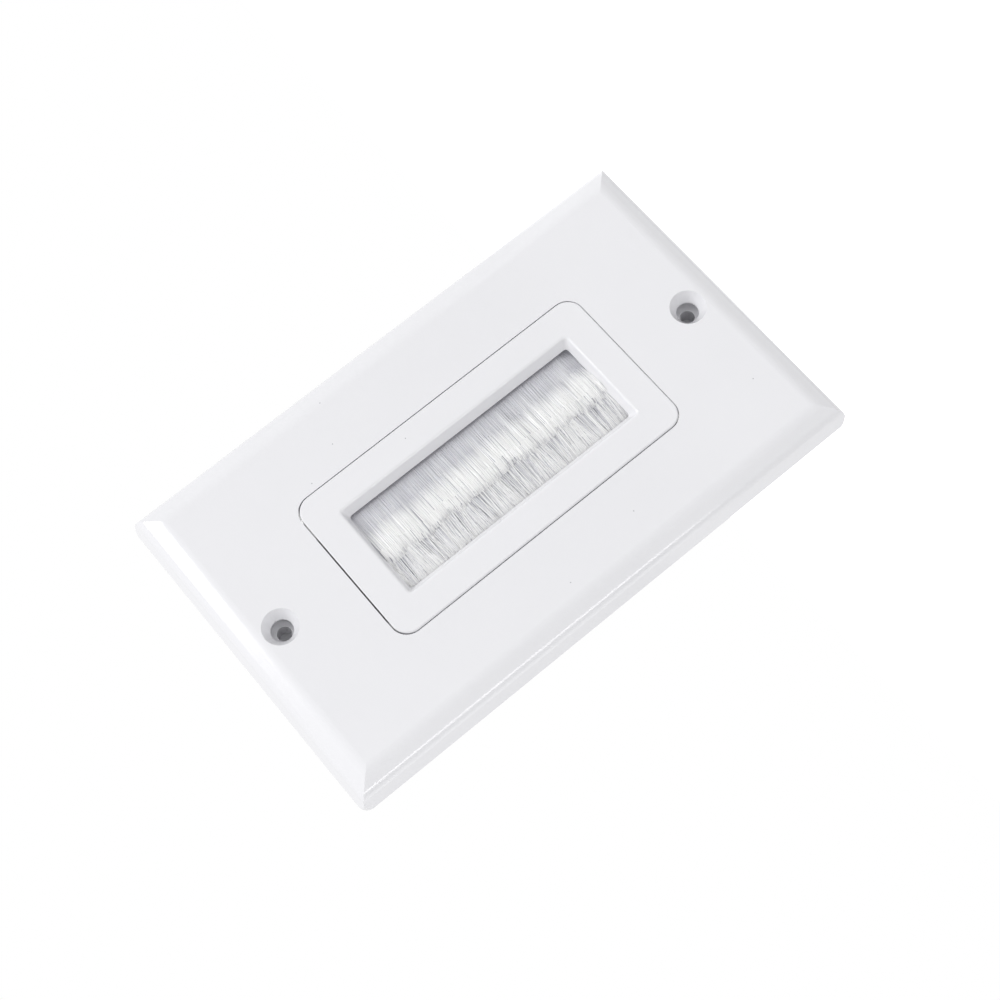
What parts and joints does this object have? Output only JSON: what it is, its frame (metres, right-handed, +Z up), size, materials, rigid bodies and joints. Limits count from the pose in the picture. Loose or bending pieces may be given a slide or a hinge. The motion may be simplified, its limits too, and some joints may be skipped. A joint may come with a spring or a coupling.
{
  "type": "brush wall plate",
  "caption": "One-gang wall plate with a rectangular window closed by two rows of bristles, for passing cables through a wall.",
  "frame": {"origin": "centre of the plate's rim plane, which lies on the wall", "axes": "+Z up the long side, +X across to the right seen from the front, +Y into the wall; the front faces -Y"},
  "size_m": [0.07, 0.0095, 0.115],
  "materials": {
    "white_plastic": "gloss",
    "bristle_nylon": "satin",
    "strip_steel": "satin",
    "screw_steel": "satin"
  },
  "bodies": {
    "root": {"wall_plate": "white_plastic", "insert_frame": "white_plastic", "brush_channel_left": "strip_steel", "brush_channel_right": "strip_steel", "core_wire_left": "strip_steel", "core_wire_right": "strip_steel", "bristles_left": "bristle_nylon", "bristles_right": "bristle_nylon", "clamp_bar_left": "white_plastic", "clamp_bar_right": "white_plastic", "clamp_screw_lower_left": "screw_steel", "clamp_screw_upper_left": "screw_steel", "clamp_screw_lower_right": "screw_steel", "clamp_screw_upper_right": "screw_steel"}
  },
  "joints": []
}
